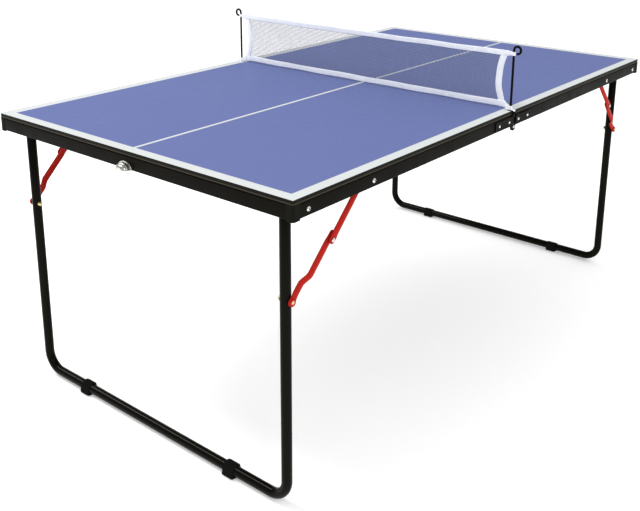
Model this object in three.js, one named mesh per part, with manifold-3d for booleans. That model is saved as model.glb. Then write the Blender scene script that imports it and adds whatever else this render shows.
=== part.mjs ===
// A folding ping pong table: two framed half boards that hinge together at the middle, a U-shaped
// tubular leg frame under each half, two-part folding stays, a lift-out net on wire posts and a
// half-round catch that holds the folded halves together.
//
// Millimetres. +Z is up and the floor is z = 0. X runs along the table, from the near end (-X) to
// the far end (+X). Y runs across it, and the right side is -Y. The origin is on the floor, under
// the middle of the table.

import * as THREE from 'three';
import { mergeVertices } from 'three/addons/utils/BufferGeometryUtils.js';
import Module from 'manifold-3d';

const wasm = await Module();
wasm.setup();

// ---- Driving dimensions --------------------------------------------------------------------

const LENGTH = 1808;
const WIDTH = 1029;
const HEIGHT = 762;
const BOARD_THICKNESS = 10;
const RAIL_HEIGHT = 34;
const RAIL_DEPTH = 20;
const RAIL_WALL = 1.6;
const FIT = 0.3; // the gap between two pieces that touch

const CORNER_RADIUS = 6;
const CAP_ALONG_SIDE = 21;
const CAP_ALONG_END = 18;
const CAP_DROP = 2.5; // how far a corner cap reaches below the rails
const CAP_PROUD = 0.6;

const HALF_BOARD_GAP = 1; // from the middle of the table to a board's inner edge
const NOTCH_ALONG = 13; // the cut in a board's inner corner, for the net post
const NOTCH_ACROSS = 15;
const RAIL_END = 14; // from the middle of the table to a side rail's inner end
const FOLD_RAIL_EDGE = 2;

const HINGE_HEIGHT = 717;
const HINGE_LOBE_RADIUS = 11;
const HINGE_PLATE = {
  thickness: 2.5, start: 3, end: 99, bottom: 721, top: 747, shoulder: 16, holes: [26, 79], holeHeight: 734,
};
const HINGE_STEP = { above: 2, below: 4 }; // how much narrower the far plate is where it steps in

const LEG_RADIUS = 12.5;
const LEG_WALL = 1.5;
const LEG_BEND = 50; // of the tube's centreline
const LEG_AXIS_X = 857; // from the middle of the table
const LEG_AXIS_Y = 451;
const LEG_PIVOT_HEIGHT = 733;
const LEG_ABOVE_PIVOT = 11;
const FLOOR_BAR_HEIGHT = 16;

const FOOT = { across: 275, length: 36, halfWidth: 18.5, sleeve: 15, shoulder: 7 };

const STAY_REACH = 221; // from the leg's pivot to the stay's pivots, along the rail and the leg
const STAY_WIDTH = 19;
const STAY_THICKNESS = 6;
const STAY_TAB = 12; // the lower stay runs on past the knee to the middle of its round end
const STAY_JOG = { from: 70, to: 42 }; // distances from the lower stay's pivot on the leg

// Depths inwards from a side rail's outer face.
const UPPER_STAY_DEPTH = 24;
const LOWER_STAY_DEPTH = 32;
const LOWER_STAY_END_DEPTH = 43.5;

const POST_RADIUS = 3.2;
const POST_Y = 505;
const POST_BOTTOM = 736;
const POST_RING_HEIGHT = 926;
const POST_RING_RADIUS = 9;
const POST_RING_END = 258; // degrees round the ring, where the wire stops

const NET = { half: 489, bottom: 767, top: 923, tape: 17, tapeThickness: 4, thickness: 2 };

const POST_CLIP = { back: 8, inside: 6, outside: 5.5, floor: 2, belowRail: 4 };

const CATCH = { plateRadius: 22, plateThickness: 2, knobRadius: 19, knobThickness: 16 };

// ---- Places that follow from them ----------------------------------------------------------

const END_X = LENGTH / 2;
const SIDE_Y = WIDTH / 2;
const BOARD_BOTTOM = HEIGHT - BOARD_THICKNESS;
const RAIL_BOTTOM = BOARD_BOTTOM - RAIL_HEIGHT;
const RAIL_TOP = BOARD_BOTTOM - FIT;
const STAY_PIVOT_X = LEG_AXIS_X - STAY_REACH;
const STAY_LEG_HEIGHT = LEG_PIVOT_HEIGHT - STAY_REACH;
const KNEE_X = (LEG_AXIS_X + STAY_PIVOT_X) / 2;
const KNEE_HEIGHT = (LEG_PIVOT_HEIGHT + STAY_LEG_HEIGHT) / 2;
const LINK_LENGTH = Math.hypot(STAY_PIVOT_X - KNEE_X, LEG_PIVOT_HEIGHT - KNEE_HEIGHT);
const LEG_OUTER_DEPTH = SIDE_Y - LEG_AXIS_Y - LEG_RADIUS;
const LEG_INNER_DEPTH = LEG_OUTER_DEPTH + 2 * LEG_RADIUS;

// ---- Materials -----------------------------------------------------------------------------

function material(color, roughness, metalness) {
  return new THREE.MeshStandardMaterial({ color, roughness, metalness });
}

const MATERIALS = {
  playfield: material(0x5a6ba0, 0.6, 0),
  blackSteel: material(0x161614, 0.35, 0.3),
  blackPlastic: material(0x1c1c1a, 0.6, 0),
  rubber: material(0x141414, 0.85, 0),
  redSteel: material(0xb42a20, 0.35, 0.2),
  chrome: material(0xc8c8c6, 0.15, 1),
  netTape: material(0xe6e8e6, 0.8, 0),
  netMesh: material(0xdfe2e6, 0.85, 0),
};

// ---- Solids --------------------------------------------------------------------------------

// A copy with positions only, whose faces share their vertices.
function merged(geometry) {
  const bare = geometry.clone();
  bare.deleteAttribute('normal');
  bare.deleteAttribute('uv');
  return mergeVertices(bare, 1e-4);
}

function toManifold(geometry) {
  const shared = merged(geometry);
  const mesh = new wasm.Mesh({
    numProp: 3,
    vertProperties: new Float32Array(shared.attributes.position.array),
    triVerts: new Uint32Array(shared.index.array),
  });
  return new wasm.Manifold(mesh);
}

function toGeometry(solid) {
  const mesh = solid.getMesh();
  const geometry = new THREE.BufferGeometry();
  geometry.setAttribute('position', new THREE.BufferAttribute(mesh.vertProperties, 3));
  geometry.setIndex(new THREE.BufferAttribute(mesh.triVerts, 1));
  return geometry;
}

function union(...geometries) {
  return toGeometry(geometries.map(toManifold).reduce((a, b) => a.add(b)));
}

function cut(geometry, ...tools) {
  return toGeometry(tools.map(toManifold).reduce((a, b) => a.subtract(b), toManifold(geometry)));
}

function common(a, b) {
  return toGeometry(toManifold(a).intersect(toManifold(b)));
}

// A copy of a geometry, mirrored to the near or far half (end = -1 or 1) and to the right or left
// side (side = -1 or 1) from where it is drawn: at the far end, on the left side.
function mirrored(geometry, end, side) {
  const copy = merged(geometry).scale(end, side, 1);
  if (end * side < 0) {
    const corners = Array.from(copy.index.array);
    for (let i = 0; i < corners.length; i += 3) {
      [corners[i + 1], corners[i + 2]] = [corners[i + 2], corners[i + 1]];
    }
    copy.setIndex(corners);
  }
  return copy;
}

function box(x0, x1, y0, y1, z0, z1) {
  const geometry = new THREE.BoxGeometry(x1 - x0, y1 - y0, z1 - z0);
  return geometry.translate((x0 + x1) / 2, (y0 + y1) / 2, (z0 + z1) / 2);
}

function outline(points) {
  return new THREE.Shape(points.map(([a, b]) => new THREE.Vector2(a, b)));
}

// Extrudes an outline drawn in X and Y upwards, from z0 to z1.
function extrudeUp(shape, z0, z1) {
  const geometry = new THREE.ExtrudeGeometry(shape, {
    depth: z1 - z0, bevelEnabled: false, curveSegments: 6,
  });
  return geometry.translate(0, 0, z0);
}

// Extrudes an outline drawn in X and Z across the table, from y0 to y1.
function extrudeAcross(shape, y0, y1, curveSegments = 6) {
  const geometry = new THREE.ExtrudeGeometry(shape, {
    depth: y1 - y0, bevelEnabled: false, curveSegments,
  });
  return geometry.rotateX(Math.PI / 2).translate(0, y1, 0);
}

// Extrudes an outline drawn in Y and Z along the table, from x0 to x1.
function extrudeAlong(shape, x0, x1, curveSegments = 12) {
  const geometry = new THREE.ExtrudeGeometry(shape, {
    depth: x1 - x0, bevelEnabled: false, curveSegments,
  });
  return geometry.rotateX(Math.PI / 2).rotateZ(Math.PI / 2).translate(x0, 0, 0);
}

// A turned piece whose axis runs along Y at (x, z). Its steps are [radius, y], from one end to the
// other.
function turnedAcross(x, z, steps, segments = 12) {
  const profile = [[0, steps[0][1]], ...steps, [0, steps.at(-1)[1]]];
  const geometry = new THREE.LatheGeometry(
    profile.map(([radius, y]) => new THREE.Vector2(radius, y)), segments,
  );
  return geometry.translate(x, 0, z);
}

function roundAcross(x, z, radius, y0, y1, segments = 12) {
  return turnedAcross(x, z, [[radius, y0], [radius, y1]], segments);
}

// A path given by stations, each with a point and a direction, for sweeping a tube.
class StationPath extends THREE.Curve {
  constructor(stations) {
    super();
    this.stations = stations;
  }

  between(u, what, target) {
    const last = this.stations.length - 1;
    const place = Math.min(u * last, last - 1e-9);
    const i = Math.floor(place);
    return target.copy(this.stations[i][what]).lerp(this.stations[i + 1][what], place - i);
  }

  getPoint(u, target = new THREE.Vector3()) {
    return this.between(u, 'point', target);
  }

  getPointAt(u, target) {
    return this.getPoint(u, target);
  }

  getTangentAt(u, target = new THREE.Vector3()) {
    return this.between(u, 'direction', target).normalize();
  }
}

// Stations round an arc in the plane X = x, from angle a0 to a1 in degrees, measured from +Y
// towards +Z.
function arcStations(x, centreY, centreZ, radius, a0, a1, steps) {
  const turn = Math.sign(a1 - a0);
  return Array.from({ length: steps + 1 }, (_, i) => {
    const angle = THREE.MathUtils.degToRad(a0 + ((a1 - a0) * i) / steps);
    return {
      point: new THREE.Vector3(
        x, centreY + radius * Math.cos(angle), centreZ + radius * Math.sin(angle),
      ),
      direction: new THREE.Vector3(0, -Math.sin(angle) * turn, Math.cos(angle) * turn),
    };
  });
}

function station(x, y, z, dy, dz) {
  return { point: new THREE.Vector3(x, y, z), direction: new THREE.Vector3(0, dy, dz) };
}

function sweep(stations, radius, wall, segments) {
  const shape = new THREE.Shape().absarc(0, 0, radius, 0, 2 * Math.PI, false);
  if (wall > 0) {
    shape.holes.push(new THREE.Path().absarc(0, 0, radius - wall, 0, 2 * Math.PI, true));
  }
  return new THREE.ExtrudeGeometry(shape, {
    extrudePath: new StationPath(stations), steps: stations.length - 1, curveSegments: segments,
  });
}

// ---- The half tables -----------------------------------------------------------------------

function boardGeometry() {
  const inner = HALF_BOARD_GAP;
  const notchX = NOTCH_ALONG;
  const notchY = SIDE_Y - NOTCH_ACROSS;
  const shape = new THREE.Shape();
  shape.moveTo(inner, -notchY);
  shape.lineTo(notchX, -notchY);
  shape.lineTo(notchX, -SIDE_Y);
  shape.lineTo(END_X - CORNER_RADIUS, -SIDE_Y);
  shape.absarc(END_X - CORNER_RADIUS, -SIDE_Y + CORNER_RADIUS, CORNER_RADIUS, -Math.PI / 2, 0);
  shape.lineTo(END_X, SIDE_Y - CORNER_RADIUS);
  shape.absarc(END_X - CORNER_RADIUS, SIDE_Y - CORNER_RADIUS, CORNER_RADIUS, 0, Math.PI / 2);
  shape.lineTo(notchX, SIDE_Y);
  shape.lineTo(notchX, notchY);
  shape.lineTo(inner, notchY);
  return extrudeUp(shape, BOARD_BOTTOM, HEIGHT);
}

// The section of a rail: a channel with its web on the outer face, at depth 0, and its flanges
// running inwards.
function channelOutline(toPoint) {
  const inner = RAIL_DEPTH;
  const wall = RAIL_WALL;
  return outline([
    [0, RAIL_BOTTOM], [inner, RAIL_BOTTOM], [inner, RAIL_BOTTOM + wall],
    [wall, RAIL_BOTTOM + wall], [wall, RAIL_TOP - wall], [inner, RAIL_TOP - wall],
    [inner, RAIL_TOP], [0, RAIL_TOP],
  ].map(([depth, z]) => [toPoint(depth), z]));
}

function sideRailGeometry() {
  const channel = extrudeAlong(
    channelOutline((depth) => SIDE_Y - depth), RAIL_END, END_X - CAP_ALONG_SIDE - FIT,
  );
  const hole = (x, radius) => roundAcross(
    x, LEG_PIVOT_HEIGHT, radius + FIT, SIDE_Y - RAIL_WALL - 1, SIDE_Y + 1,
  );
  return cut(channel, hole(LEG_AXIS_X, BOLT.legShank), hole(STAY_PIVOT_X, BOLT.stayShank));
}

function endRailGeometry() {
  const half = SIDE_Y - CAP_ALONG_END - FIT;
  return extrudeAcross(channelOutline((depth) => END_X - depth), -half, half);
}

function foldRailGeometry() {
  const half = SIDE_Y - RAIL_DEPTH - FIT;
  return extrudeAcross(channelOutline((depth) => FOLD_RAIL_EDGE + depth), -half, half);
}

function cornerCapGeometry() {
  const outerX = END_X + CAP_PROUD;
  const outerY = SIDE_Y + CAP_PROUD;
  const innerX = END_X - CAP_ALONG_SIDE;
  const innerY = SIDE_Y - CAP_ALONG_END;
  const radius = CORNER_RADIUS + CAP_PROUD;
  const shape = new THREE.Shape();
  shape.moveTo(innerX, innerY);
  shape.lineTo(outerX, innerY);
  shape.lineTo(outerX, outerY - radius);
  shape.absarc(outerX - radius, outerY - radius, radius, 0, Math.PI / 2);
  shape.lineTo(innerX, outerY);
  return extrudeUp(shape, RAIL_BOTTOM - CAP_DROP, RAIL_TOP);
}

// ---- The hinges in the middle --------------------------------------------------------------

// The near plate's lobe is in the outer layer. The far plate steps inwards between the rails' ends,
// and its lobe is in the inner layer.
const OUTER_LAYER = SIDE_Y + FIT;
const INNER_LAYER = SIDE_Y - FIT - HINGE_PLATE.thickness;
const THROUGH_PLATES = [INNER_LAYER - 1, OUTER_LAYER + HINGE_PLATE.thickness + 1];

function plateHoles() {
  const { holes, holeHeight } = HINGE_PLATE;
  return holes.map((x) => roundAcross(x, holeHeight, BOLT.plateScrew, ...THROUGH_PLATES, 8));
}

function lobe(y0) {
  return roundAcross(0, HINGE_HEIGHT, HINGE_LOBE_RADIUS, y0, y0 + HINGE_PLATE.thickness, 20);
}

function nearHingePlateGeometry() {
  const y0 = OUTER_LAYER;
  const y1 = y0 + HINGE_PLATE.thickness;
  const { start, end, bottom, top, shoulder } = HINGE_PLATE;
  const neck = HINGE_LOBE_RADIUS * 0.8;
  const plate = extrudeAcross(outline([
    [start, HINGE_HEIGHT + neck], [start, top], [end, top], [end, bottom], [shoulder, bottom],
    [neck, HINGE_HEIGHT - neck / 2], [-neck / 2, HINGE_HEIGHT + neck / 2],
  ]), y0, y1);
  return cut(union(plate, lobe(y0)), ...plateHoles(), pinHole());
}

function farHingePlateGeometry() {
  const { end, bottom, top, thickness } = HINGE_PLATE;
  const outer = box(RAIL_END + FIT, end, OUTER_LAYER, OUTER_LAYER + thickness, bottom, top);
  const stepX = HINGE_LOBE_RADIUS + FIT;
  const stepBottom = bottom + HINGE_STEP.above;
  const stepTop = top - HINGE_STEP.below;
  const step = box(
    stepX, RAIL_END + FIT + 1, INNER_LAYER, OUTER_LAYER + thickness, stepBottom, stepTop,
  );
  const clearOfRail = box(
    RAIL_END - FIT, end, INNER_LAYER - 1, OUTER_LAYER, bottom - 1, top + 1,
  );
  const inLobe = HINGE_LOBE_RADIUS / 2;
  const neck = extrudeAcross(outline([
    [-inLobe, HINGE_HEIGHT + inLobe], [stepX + 1, stepTop], [stepX + 1, stepBottom],
    [inLobe, HINGE_HEIGHT - inLobe],
  ]), INNER_LAYER, INNER_LAYER + thickness);
  const body = union(cut(union(outer, step), clearOfRail), neck, lobe(INNER_LAYER));
  return cut(body, ...plateHoles(), pinHole());
}

function pinHole() {
  return roundAcross(0, HINGE_HEIGHT, BOLT.pin + FIT, ...THROUGH_PLATES);
}

function hingePinGeometry() {
  const { pin, pinHead, pinHeadHeight } = BOLT;
  const inside = INNER_LAYER - FIT;
  const outside = OUTER_LAYER + HINGE_PLATE.thickness + FIT;
  return turnedAcross(0, HINGE_HEIGHT, [
    [pinHead, inside - pinHeadHeight], [pinHead, inside], [pin, inside], [pin, outside],
    [pinHead, outside], [pinHead * 0.8, outside + pinHeadHeight],
  ]);
}

// ---- Bolts and rivets ----------------------------------------------------------------------

const BOLT = {
  legShank: 4, legSpacer: 8, stayShank: 3, staySpacer: 6, pin: 3.2, plateScrew: 2.4,
  head: 6.5, headHeight: 3, smallHead: 5, smallHeadHeight: 2, pinHead: 5.5, pinHeadHeight: 1.6,
  nut: 7, nutHeight: 5, collar: 5, collarHeight: 1,
};

// Depths are inwards from the side rail's outer face, so a depth of -3 stands 3 mm outside it.
function boltFromDepths(x, z, steps) {
  return turnedAcross(x, z, steps.map(([radius, depth]) => [radius, SIDE_Y - depth]).reverse());
}

function domedHead(radius, height, base) {
  return [[radius * 0.45, base - height], [radius * 0.85, base - height * 0.6], [radius, base]];
}

function legBoltGeometry() {
  const { legShank, legSpacer, head, headHeight, nut, nutHeight } = BOLT;
  return boltFromDepths(LEG_AXIS_X, LEG_PIVOT_HEIGHT, [
    ...domedHead(head, headHeight, -FIT), [legShank, -FIT], [legShank, RAIL_WALL + FIT],
    [legSpacer, RAIL_WALL + FIT], [legSpacer, LEG_OUTER_DEPTH - FIT],
    [legShank, LEG_OUTER_DEPTH - FIT], [legShank, LEG_INNER_DEPTH + FIT],
    [nut, LEG_INNER_DEPTH + FIT], [nut, LEG_INNER_DEPTH + FIT + nutHeight],
  ]);
}

function upperStayBoltGeometry() {
  const { stayShank, staySpacer, head, headHeight, collar, collarHeight } = BOLT;
  const inner = UPPER_STAY_DEPTH + STAY_THICKNESS;
  return boltFromDepths(STAY_PIVOT_X, LEG_PIVOT_HEIGHT, [
    ...domedHead(head, headHeight, -FIT), [stayShank, -FIT], [stayShank, RAIL_WALL + FIT],
    [staySpacer, RAIL_WALL + FIT], [staySpacer, UPPER_STAY_DEPTH - FIT],
    [stayShank, UPPER_STAY_DEPTH - FIT], [stayShank, inner + FIT],
    [collar, inner + FIT], [collar, inner + FIT + collarHeight],
  ]);
}

function kneeRivetGeometry() {
  const { stayShank, smallHead, smallHeadHeight, collarHeight } = BOLT;
  const inner = UPPER_STAY_DEPTH + STAY_THICKNESS + FIT;
  const flare = (stayShank + smallHead) / 2;
  return boltFromDepths(KNEE_X, KNEE_HEIGHT, [
    ...domedHead(smallHead, smallHeadHeight, UPPER_STAY_DEPTH - FIT),
    [stayShank, UPPER_STAY_DEPTH - FIT], [stayShank, inner],
    [flare, inner], [flare, inner + collarHeight],
  ]);
}

function lowerStayBoltGeometry() {
  const { stayShank, smallHead, smallHeadHeight, pinHead, headHeight } = BOLT;
  const far = LEG_INNER_DEPTH + FIT;
  return boltFromDepths(LEG_AXIS_X, STAY_LEG_HEIGHT, [
    ...domedHead(smallHead, smallHeadHeight, LOWER_STAY_END_DEPTH - FIT),
    [stayShank, LOWER_STAY_END_DEPTH - FIT], [stayShank, far],
    ...domedHead(pinHead, -headHeight, far).reverse(),
  ]);
}

// ---- The stays -----------------------------------------------------------------------------

// Stays are drawn lying along +X from their pivot at the origin, at depth 0 = y 0, and then turned
// and moved to their place.
function stadium(x0, x1, halfWidth) {
  const shape = new THREE.Shape();
  shape.absarc(x0, 0, halfWidth, Math.PI / 2, 1.5 * Math.PI, false);
  shape.absarc(x1, 0, halfWidth, -Math.PI / 2, Math.PI / 2, false);
  return shape;
}

function pivotHole(x, y0, y1) {
  return roundAcross(x, 0, BOLT.stayShank + FIT, y0, y1);
}

function placeStay(geometry, pivotX, pivotZ, towardsX, towardsZ) {
  const angle = Math.atan2(towardsZ - pivotZ, towardsX - pivotX);
  return geometry.rotateY(-angle).translate(pivotX, 0, pivotZ);
}

function upperStayGeometry() {
  const outer = SIDE_Y - UPPER_STAY_DEPTH;
  const inner = outer - STAY_THICKNESS;
  const bar = extrudeAcross(stadium(0, LINK_LENGTH, STAY_WIDTH / 2), inner, outer);
  const stay = cut(bar, ...[0, LINK_LENGTH].map((x) => pivotHole(x, inner - 1, outer + 1)));
  return placeStay(stay, STAY_PIVOT_X, LEG_PIVOT_HEIGHT, KNEE_X, KNEE_HEIGHT);
}

// The lower stay steps outwards to run beside the upper one, clear of the leg's tube.
function lowerStayGeometry() {
  const nearLeg = SIDE_Y - LOWER_STAY_END_DEPTH;
  const nearKnee = SIDE_Y - LOWER_STAY_DEPTH;
  const half = STAY_WIDTH / 2;
  const end = LINK_LENGTH + STAY_TAB;
  const { from, to } = STAY_JOG;
  const across = outline([
    [-half - 1, nearLeg], [to, nearLeg], [from, nearKnee], [end + half + 1, nearKnee],
    [end + half + 1, nearKnee - STAY_THICKNESS], [from, nearKnee - STAY_THICKNESS],
    [to, nearLeg - STAY_THICKNESS], [-half - 1, nearLeg - STAY_THICKNESS],
  ].reverse());
  const bent = extrudeUp(across, -half - 1, half + 1);
  const flat = extrudeAcross(
    stadium(0, end, half), nearLeg - STAY_THICKNESS - 1, nearKnee + 1,
  );
  const stay = cut(
    common(bent, flat), pivotHole(0, nearLeg - STAY_THICKNESS - 1, nearLeg + 1),
  );
  return placeStay(stay, LEG_AXIS_X, STAY_LEG_HEIGHT, KNEE_X, KNEE_HEIGHT);
}

// ---- The leg frames ------------------------------------------------------------------------

function legFrameGeometry() {
  const x = LEG_AXIS_X;
  const y = LEG_AXIS_Y;
  const bendY = y - LEG_BEND;
  const bendZ = FLOOR_BAR_HEIGHT + LEG_BEND;
  const top = LEG_PIVOT_HEIGHT + LEG_ABOVE_PIVOT;
  const tube = sweep([
    station(x, y, top, 0, -1),
    ...arcStations(x, bendY, bendZ, LEG_BEND, 0, -90, 5),
    ...arcStations(x, -bendY, bendZ, LEG_BEND, -90, -180, 5),
    station(x, -y, top, 0, 1),
  ], LEG_RADIUS, LEG_WALL, 8);
  const hole = (side, z, radius) => roundAcross(
    x, z, radius + FIT, side * y - LEG_RADIUS - 1, side * y + LEG_RADIUS + 1,
  );
  return cut(
    tube,
    ...[-1, 1].map((side) => hole(side, LEG_PIVOT_HEIGHT, BOLT.legShank)),
    ...[-1, 1].map((side) => hole(side, STAY_LEG_HEIGHT, BOLT.stayShank)),
  );
}

// A rubber saddle round the floor bar, with a flat, wider sole.
function footGeometry() {
  const { across, length, halfWidth, sleeve, shoulder } = FOOT;
  const shape = new THREE.Shape();
  shape.moveTo(LEG_AXIS_X - halfWidth + 2, 0);
  shape.lineTo(LEG_AXIS_X + halfWidth - 2, 0);
  shape.lineTo(LEG_AXIS_X + halfWidth, 2);
  shape.lineTo(LEG_AXIS_X + halfWidth, shoulder);
  shape.absarc(LEG_AXIS_X, FLOOR_BAR_HEIGHT, sleeve, 0, Math.PI, false);
  shape.lineTo(LEG_AXIS_X - halfWidth, shoulder);
  shape.lineTo(LEG_AXIS_X - halfWidth, 2);
  const block = extrudeAcross(shape, across - length / 2, across + length / 2, 8);
  const bore = roundAcross(
    LEG_AXIS_X, FLOOR_BAR_HEIGHT, LEG_RADIUS + FIT, across - length, across + length, 16,
  );
  return cut(block, bore);
}

// ---- The net -------------------------------------------------------------------------------

// A post of one bent wire: a straight shaft that curls outwards into an open ring.
function netPostGeometry() {
  const ringY = POST_Y + POST_RING_RADIUS;
  return sweep([
    station(0, POST_Y, POST_BOTTOM, 0, 1),
    ...arcStations(0, ringY, POST_RING_HEIGHT, POST_RING_RADIUS, 180, POST_RING_END - 360, 14),
  ], POST_RADIUS, 0, 4);
}

// A plastic clip that holds the post's foot, fixed to the near side rail's end.
function postClipGeometry() {
  const { back, inside, outside, floor, belowRail } = POST_CLIP;
  const block = box(
    -back, RAIL_END - FIT, POST_Y - inside, POST_Y + outside, POST_BOTTOM - floor,
    RAIL_TOP - belowRail,
  );
  const bore = new THREE.CylinderGeometry(POST_RADIUS + FIT, POST_RADIUS + FIT, 60, 16);
  bore.rotateX(Math.PI / 2).translate(0, POST_Y, POST_BOTTOM);
  return cut(block, bore);
}

function netPanelGeometry() {
  const { half, bottom, top, tape, thickness } = NET;
  return box(
    -thickness / 2, thickness / 2, -half, half, bottom + tape + FIT, top - tape - FIT,
  );
}

function netTapeGeometry(bottom) {
  const { half, tape, tapeThickness } = NET;
  return box(-tapeThickness / 2, tapeThickness / 2, -half, half, bottom, bottom + tape);
}

// ---- The catch -----------------------------------------------------------------------------

function halfDisc(radius) {
  const shape = new THREE.Shape();
  shape.absarc(0, RAIL_BOTTOM + FIT, radius, 0, Math.PI, false);
  return shape;
}

const CATCH_PLATE_FACE = END_X + FIT + CATCH.plateThickness;
const CATCH_FRONT = CATCH_PLATE_FACE + FIT + CATCH.knobThickness;

function catchPlateGeometry() {
  return extrudeAlong(halfDisc(CATCH.plateRadius), END_X + FIT, CATCH_PLATE_FACE);
}

// A half-round knob with a stepped, domed face, from x = back to the catch's front. Each step is a
// share of the radius, and the share of the thickness by which it stops short of the front.
function catchKnobGeometry(back) {
  const steps = [[1, 0.6], [0.92, 0.25], [0.72, 0]];
  return union(...steps.map(([share, short]) => extrudeAlong(
    halfDisc(CATCH.knobRadius * share), back, CATCH_FRONT - short * CATCH.knobThickness,
  )));
}

// ---- The assembly --------------------------------------------------------------------------

const table = new THREE.Group();

function add(name, geometry, surface) {
  const mesh = new THREE.Mesh(geometry, MATERIALS[surface]);
  mesh.name = name;
  table.add(mesh);
}

const ENDS = [['near', -1], ['far', 1]];
const SIDES = [['right', -1], ['left', 1]];

// The pieces that each side of each half has, drawn for the far left corner.
const CORNER_PIECES = {
  side_rail: [sideRailGeometry(), 'blackSteel'],
  corner_cap: [cornerCapGeometry(), 'blackPlastic'],
  leg_bolt: [legBoltGeometry(), 'chrome'],
  upper_stay: [upperStayGeometry(), 'redSteel'],
  lower_stay: [lowerStayGeometry(), 'redSteel'],
  upper_stay_bolt: [upperStayBoltGeometry(), 'chrome'],
  knee_rivet: [kneeRivetGeometry(), 'chrome'],
  lower_stay_bolt: [lowerStayBoltGeometry(), 'chrome'],
  foot: [footGeometry(), 'rubber'],
};

const END_PIECES = {
  board: [boardGeometry(), 'playfield'],
  end_rail: [endRailGeometry(), 'blackSteel'],
  fold_rail: [foldRailGeometry(), 'blackSteel'],
  leg_frame: [legFrameGeometry(), 'blackSteel'],
};

for (const [endName, end] of ENDS) {
  for (const [piece, [geometry, surface]] of Object.entries(END_PIECES)) {
    add(`${endName}_${piece}`, mirrored(geometry, end, 1), surface);
  }
  for (const [sideName, side] of SIDES) {
    for (const [piece, [geometry, surface]] of Object.entries(CORNER_PIECES)) {
      add(`${endName}_${sideName}_${piece}`, mirrored(geometry, end, side), surface);
    }
  }
}

for (const [sideName, side] of SIDES) {
  add(`near_${sideName}_hinge_plate`, mirrored(nearHingePlateGeometry(), -1, side), 'blackSteel');
  add(`far_${sideName}_hinge_plate`, mirrored(farHingePlateGeometry(), 1, side), 'blackSteel');
  add(`${sideName}_hinge_pin`, mirrored(hingePinGeometry(), 1, side), 'chrome');
  add(`${sideName}_net_post`, mirrored(netPostGeometry(), 1, side), 'blackSteel');
  add(`${sideName}_post_clip`, mirrored(postClipGeometry(), -1, side), 'blackPlastic');
}

add('net_panel', netPanelGeometry(), 'netMesh');
add('net_top_tape', netTapeGeometry(NET.top - NET.tape), 'netTape');
add('net_bottom_tape', netTapeGeometry(NET.bottom), 'netTape');

// The near half has a knob that turns on its plate; the far half's twin is one fixed piece.
add('near_catch_plate', mirrored(catchPlateGeometry(), -1, 1), 'chrome');
add('near_catch_knob', mirrored(catchKnobGeometry(CATCH_PLATE_FACE + FIT), -1, 1), 'chrome');
add('far_catch', union(catchPlateGeometry(), catchKnobGeometry(CATCH_PLATE_FACE - 1)), 'chrome');

export default table;
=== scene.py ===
import math

import bmesh
import bpy
from mathutils import Matrix, Vector


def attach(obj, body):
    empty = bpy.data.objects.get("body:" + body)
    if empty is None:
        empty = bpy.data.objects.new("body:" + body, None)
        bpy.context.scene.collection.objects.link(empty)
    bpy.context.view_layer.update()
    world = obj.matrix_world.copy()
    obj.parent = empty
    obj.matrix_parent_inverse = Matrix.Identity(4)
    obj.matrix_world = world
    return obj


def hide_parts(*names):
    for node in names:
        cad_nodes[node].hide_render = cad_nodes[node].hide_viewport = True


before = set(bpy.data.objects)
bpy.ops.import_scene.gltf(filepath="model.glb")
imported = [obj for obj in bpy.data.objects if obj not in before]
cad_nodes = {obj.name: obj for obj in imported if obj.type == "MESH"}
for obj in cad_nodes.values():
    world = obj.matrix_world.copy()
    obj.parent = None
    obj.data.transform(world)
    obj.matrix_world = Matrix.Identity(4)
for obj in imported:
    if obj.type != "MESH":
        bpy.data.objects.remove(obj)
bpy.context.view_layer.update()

# Shapes are drawn in millimetres, on the frame's own axes, and scaled once, in add_piece.
MM = 0.001

# The boards and the rails round them
END_X = 904
SIDE_Y = 514.5
TOP_Z = 762
BORDER = 30
LINE = 9
EDGE_TRIM = 1.6
BOARD_THICKNESS = 10
# How far up the board's black edge its painted highlight reaches
EDGE_HIGHLIGHT_HEIGHT = 3.4
RAIL_BOTTOM = 718
RAIL_TOP = 751.7
RAIL_DEPTH = 20
RAIL_WALL = 1.6
RAIL_START = 14
RAIL_SHOULDER = 4.5
RAIL_FOOT = 2
CAP_ALONG_SIDE = 21
CAP_ALONG_END = 18
FIT = 0.3
SOFT_CORNER = 2.6
SOFT_BOARD = 1.2

# The leg frames
LEG_X = 857
LEG_Y = 451
LEG_RADIUS = 12.5
LEG_BEND = 50
PIVOT_Z = 733
LEG_TOP = 744
BAR_Z = 16

# The folding stays, whose depths are measured inwards from the side rail's face
STAY_PIVOT_X = 636
STAY_LEG_Z = 512
KNEE = (746.5, 622.5)
LINK = 156.27
STAY_HALF_WIDTH = 9.5
STAY_TAB = 12
STAY_JOG = (42, 70)
UPPER_STAY_DEPTH = 24
LEG_GAP = 51
LOWER_STAY_DEPTH = 32
LOWER_STAY_END_DEPTH = 43.5
STAY_THICKNESS = 6
STAY_FACE, STAY_BACK = 1.9, 4.1
FACE_RISE, BACK_RISE = 1.7, 1.1
STAY_RAMP_START, STAY_RAMP = 11, 8
STAY_LIP = 1.4
STAY_LIP_START = 0.8
CROWN_HALF = 0.72
END_CROWN = 0.15
STAY_ACROSS = [-1, -0.86, -0.62, -0.4, -0.15, 0.15, 0.4, 0.62, 0.86, 1]

# The rubber feet on the floor bars
FOOT_Y = 275
FOOT_HALF_LENGTH = 18
FOOT_HALF_WIDTH = 18.5
FOOT_STEPS = 90
FOOT_RIBS = 8
FOOT_RIBBED = 0.84
RIB_HEIGHT = 0.8
FOOT_CLEARANCE = 0.5
FOOT_SLEEVE = 1.6
SOLE_SHARE = 0.9
SOLE_SQUARENESS = 7
FOOT_LIP = 2.6
LIP_ANGLE = math.radians(122)
LIP_REACH = math.radians(34)

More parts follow.
